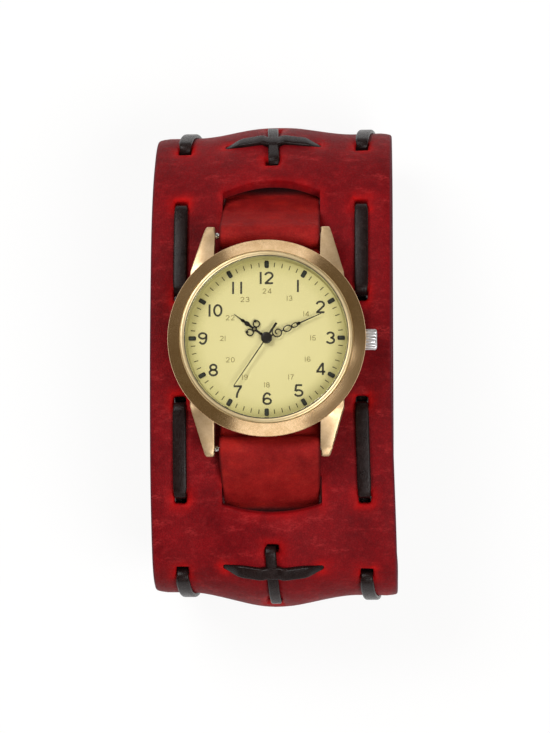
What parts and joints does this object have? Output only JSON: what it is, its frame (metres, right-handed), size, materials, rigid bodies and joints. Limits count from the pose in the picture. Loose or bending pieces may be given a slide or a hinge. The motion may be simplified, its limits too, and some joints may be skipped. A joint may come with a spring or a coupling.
{
  "type": "cuff wristwatch",
  "caption": "Round quartz wristwatch with numerals on a pale dial, on a leather strap that passes through slots of a wide laced leather cuff closed by snaps.",
  "frame": {"origin": "bottom centre of the whole watch's box, on the face it lies on", "axes": "+Z is the dial's normal, +X points to the crown, +Y points to twelve o'clock"},
  "size_m": [0.0506, 0.105, 0.0533],
  "materials": {
    "cuff_leather": "waxed, mottled",
    "strap_leather": "waxed",
    "lace_leather": "waxed",
    "case_steel": "satin",
    "bezel_steel": "brushed band, polished lip",
    "bright_steel": "polished",
    "movement_brass": "satin",
    "wheel_brass": "satin",
    "motor_iron": "satin",
    "coil_copper": "lacquered copper wire",
    "cell_steel": "satin",
    "board_plastic": "matte",
    "holder_plastic": "matte",
    "gasket_rubber": "matte",
    "dial_paint": "matte",
    "block_paint": "gloss",
    "ring_paint": "satin",
    "hand_black": "gloss",
    "clear_glass": "clear",
    "snap_metal": "aged"
  },
  "bodies": {
    "watch_and_cuff": {"battery": "cell_steel", "battery_clip": "bright_steel", "bezel": "bezel_steel", "case_back": "case_steel", "case_back_gasket": "gasket_rubber", "case_middle": "case_steel", "circuit_board": "board_plastic", "coil": "coil_copper", "coil_core": "motor_iron", "crown_tube": "bright_steel", "cuff_front": "cuff_leather", "dial": "dial_paint", "glass": "clear_glass", "glass_gasket": "gasket_rubber", "holder_ring": "holder_plastic", "hour_blocks": "block_paint", "inner_ring": "ring_paint", "lace_cross_lower_across": "lace_leather", "lace_cross_lower_along": "lace_leather", "lace_cross_upper_across": "lace_leather", "lace_cross_upper_along": "lace_leather", "lace_left": "lace_leather", "lace_right": "lace_leather", "main_plate": "movement_brass", "quartz_can": "cell_steel", "spring_bar_spring_lower": "bright_steel", "spring_bar_spring_upper": "bright_steel", "spring_bar_tube_lower": "bright_steel", "spring_bar_tube_upper": "bright_steel", "stator": "motor_iron", "strap": "strap_leather", "train_bridge": "movement_brass"},
    "flap_outer": {"cuff_flap_outer": "cuff_leather", "snap_caps": "snap_metal", "snap_sockets": "snap_metal"},
    "flap_inner": {"cuff_flap_inner": "cuff_leather", "snap_studs": "snap_metal", "snap_rivets": "snap_metal"},
    "seconds": {"fourth_wheel": "wheel_brass", "second_hand": "hand_black"},
    "minutes": {"centre_wheel": "wheel_brass", "cannon_pinion": "bright_steel", "minute_hand": "hand_black"},
    "hours": {"hour_wheel": "wheel_brass", "hour_hand": "hand_black"},
    "third": {"third_wheel": "wheel_brass"},
    "intermediate": {"intermediate_wheel": "wheel_brass"},
    "motor_rotor": {"rotor": "motor_iron"},
    "minute_work": {"minute_wheel": "wheel_brass"},
    "setting_work": {"setting_wheel": "bright_steel"},
    "crown_pull_body": {"crown_gasket": "gasket_rubber"},
    "crown_turn_body": {"crown": "bright_steel", "stem": "bright_steel"},
    "clutch": {"sliding_pinion": "bright_steel"},
    "lever": {"setting_lever": "bright_steel"},
    "tip_upper_left": {"spring_bar_tip_upper_left": "bright_steel"},
    "tip_upper_right": {"spring_bar_tip_upper_right": "bright_steel"},
    "tip_lower_left": {"spring_bar_tip_lower_left": "bright_steel"},
    "tip_lower_right": {"spring_bar_tip_lower_right": "bright_steel"}
  },
  "joints": [
    {"name": "seconds_turn", "type": "hinge", "parent": "watch_and_cuff", "child": "seconds", "pos_m": [-0.0004, 0.0021, 0.04968], "axis": [0, 0, -1], "continuous": true},
    {"name": "minutes_turn", "type": "hinge", "parent": "watch_and_cuff", "child": "minutes", "pos_m": [-0.0004, 0.0021, 0.04968], "axis": [0, 0, -1], "continuous": true},
    {"name": "hours_turn", "type": "hinge", "parent": "watch_and_cuff", "child": "hours", "pos_m": [-0.0004, 0.0021, 0.04968], "axis": [0, 0, -1], "continuous": true},
    {"name": "third_turn", "type": "hinge", "parent": "watch_and_cuff", "child": "third", "pos_m": [-0.00256, 0.00426, 0.04968], "axis": [0, 0, -1], "continuous": true},
    {"name": "intermediate_turn", "type": "hinge", "parent": "watch_and_cuff", "child": "intermediate", "pos_m": [-0.00138, -0.00061, 0.04968], "axis": [0, 0, -1], "continuous": true},
    {"name": "rotor_turn", "type": "hinge", "parent": "watch_and_cuff", "child": "motor_rotor", "pos_m": [-0.00196, -0.00219, 0.04968], "axis": [0, 0, -1], "continuous": true},
    {"name": "minute_work_turn", "type": "hinge", "parent": "watch_and_cuff", "child": "minute_work", "pos_m": [0.00157, 0.00072, 0.04968], "axis": [0, 0, -1], "continuous": true},
    {"name": "setting_work_turn", "type": "hinge", "parent": "watch_and_cuff", "child": "setting_work", "pos_m": [0.00353, 0.0021, 0.04968], "axis": [0, 0, -1], "continuous": true},
    {"name": "crown_pull", "type": "slide", "parent": "watch_and_cuff", "child": "crown_pull_body", "axis": [1, 0, 0], "range_m": [0, 0.0008]},
    {"name": "crown_turn", "type": "hinge", "parent": "crown_pull_body", "child": "crown_turn_body", "pos_m": [-0.0004, 0.0021, 0.04733], "axis": [1, 0, 0], "continuous": true},
    {"name": "clutch_slide", "type": "slide", "parent": "crown_turn_body", "child": "clutch", "axis": [1, 0, 0], "range_m": [-0.0014, 0]},
    {"name": "setting_lever_swing", "type": "hinge", "parent": "watch_and_cuff", "child": "lever", "pos_m": [0.0081, -0.0025, 0.04733], "axis": [0, 0, 1], "range_deg": [-10.95, 0]},
    {"name": "outer_flap_hinge", "type": "hinge", "parent": "watch_and_cuff", "child": "flap_outer", "pos_m": [0, 0.03498, 0], "axis": [1, 0, 0], "range_deg": [0, 100]},
    {"name": "inner_flap_hinge", "type": "hinge", "parent": "watch_and_cuff", "child": "flap_inner", "pos_m": [0, -0.03078, 0.004], "axis": [-1, 0, 0], "range_deg": [0, 60]},
    {"name": "tip_upper_right_press", "type": "slide", "parent": "watch_and_cuff", "child": "tip_upper_right", "axis": [-1, 0, 0], "range_m": [0, 0.001], "stiffness_N_per_m": 500, "deforming": ["spring_bar_spring_upper"]},
    {"name": "tip_upper_left_press", "type": "slide", "parent": "watch_and_cuff", "child": "tip_upper_left", "axis": [1, 0, 0], "range_m": [0, 0.001], "stiffness_N_per_m": 500, "deforming": ["spring_bar_spring_upper"]},
    {"name": "tip_lower_right_press", "type": "slide", "parent": "watch_and_cuff", "child": "tip_lower_right", "axis": [-1, 0, 0], "range_m": [0, 0.001], "stiffness_N_per_m": 500, "deforming": ["spring_bar_spring_lower"]},
    {"name": "tip_lower_left_press", "type": "slide", "parent": "watch_and_cuff", "child": "tip_lower_left", "axis": [1, 0, 0], "range_m": [0, 0.001], "stiffness_N_per_m": 500, "deforming": ["spring_bar_spring_lower"]}
  ],
  "couplings": [
    {"joint": "minutes_turn", "follows": "seconds_turn", "ratio": 0.016667},
    {"joint": "hours_turn", "follows": "seconds_turn", "ratio": 0.0013889},
    {"joint": "third_turn", "follows": "seconds_turn", "ratio": -0.13333},
    {"joint": "intermediate_turn", "follows": "seconds_turn", "ratio": -5},
    {"joint": "rotor_turn", "follows": "seconds_turn", "ratio": 30},
    {"joint": "minute_work_turn", "follows": "seconds_turn", "ratio": -0.0055556},
    {"joint": "setting_work_turn", "follows": "seconds_turn", "ratio": 0.016667},
    {"joint": "clutch_slide", "follows": "crown_pull", "ratio": -1.75},
    {"joint": "setting_lever_swing", "follows": "crown_pull", "rad_per_m": -236.71},
    {"joint": "inner_flap_hinge", "follows": "outer_flap_hinge", "ratio": 0.6}
  ]
}
